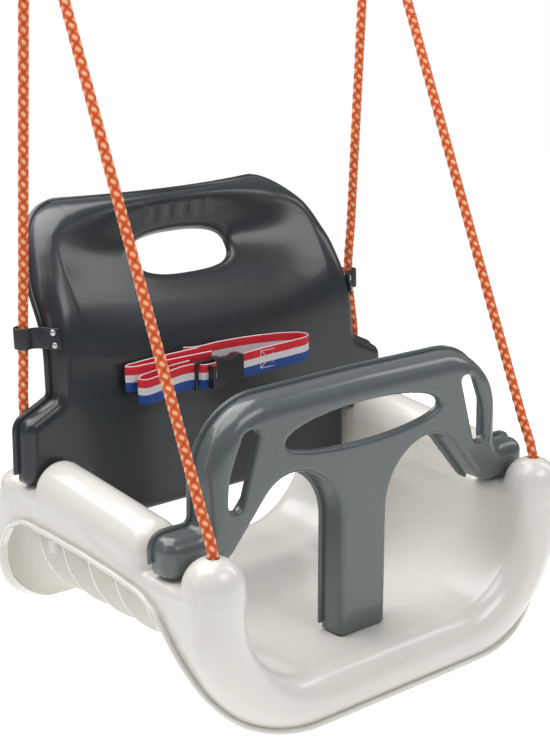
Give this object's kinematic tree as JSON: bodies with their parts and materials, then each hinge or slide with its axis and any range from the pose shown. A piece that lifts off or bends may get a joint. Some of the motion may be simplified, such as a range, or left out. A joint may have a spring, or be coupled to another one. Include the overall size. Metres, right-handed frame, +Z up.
{
  "type": "toddler bucket swing",
  "caption": "Moulded bucket seat with a lift-up T-bar, slotted backrest and lap belt, hung by paired ropes from two beam brackets.",
  "frame": {"origin": "midway between the two hangers, on the plane where their plates meet the beam", "axes": "+Z up, -Y the way the sitter faces, +X to the sitter's left"},
  "size_m": [0.4426, 0.3543, 0.8974],
  "materials": {
    "seat_plastic": "smooth, glossy off-white",
    "bar_plastic": "smooth, glossy grey-green",
    "back_plastic": "smooth, glossy dark grey",
    "strap_plastic": "satin, dark",
    "natural_plastic": "translucent, whitish",
    "buckle_plastic": "satin black",
    "rope_fibre": "braided, orange",
    "webbing": "woven, red with white and blue stripes",
    "steel": "zinc plated"
  },
  "bodies": {
    "hangers": {"left_bolt": "steel", "left_bracket": "steel", "left_nut": "steel", "right_bolt": "steel", "right_bracket": "steel", "right_nut": "steel"},
    "swing": {"backrest": "back_plastic", "belt_back_layers": "webbing", "belt_front_right": "webbing", "buckle_socket": "buckle_plastic", "left_backrest_peg": "natural_plastic", "left_bush": "natural_plastic", "left_clip_rivet_1": "steel", "left_clip_rivet_2": "steel", "left_front_rope": "rope_fibre", "left_front_stopper": "natural_plastic", "left_knot": "rope_fibre", "left_link": "steel", "left_rear_rope": "rope_fibre", "left_rear_stopper": "natural_plastic", "left_ring": "steel", "left_rope_clip": "strap_plastic", "left_rope_eye": "rope_fibre", "right_backrest_peg": "natural_plastic", "right_bush": "natural_plastic", "right_clip_rivet_1": "steel", "right_clip_rivet_2": "steel", "right_front_rope": "rope_fibre", "right_front_stopper": "natural_plastic", "right_knot": "rope_fibre", "right_link": "steel", "right_rear_rope": "rope_fibre", "right_rear_stopper": "natural_plastic", "right_ring": "steel", "right_rope_clip": "strap_plastic", "right_rope_eye": "rope_fibre", "seat_shell": "seat_plastic"},
    "t_bar": {"t_bar": "bar_plastic"},
    "buckle_tongue": {"buckle_tongue": "buckle_plastic", "belt_front_left": "webbing"}
  },
  "joints": [
    {"name": "swing_pivot", "type": "hinge", "parent": "hangers", "child": "swing", "pos_m": [0, 0, -0.034], "axis": [1, 0, 0], "range_deg": [-40, 40]},
    {"name": "t_bar_lift", "type": "slide", "parent": "swing", "child": "t_bar", "axis": [0, 0.0204, 0.9998], "range_m": [0, 0.05]},
    {"name": "buckle_release", "type": "slide", "parent": "swing", "child": "buckle_tongue", "axis": [-1, 0, 0], "range_m": [0, 0.032]}
  ]
}
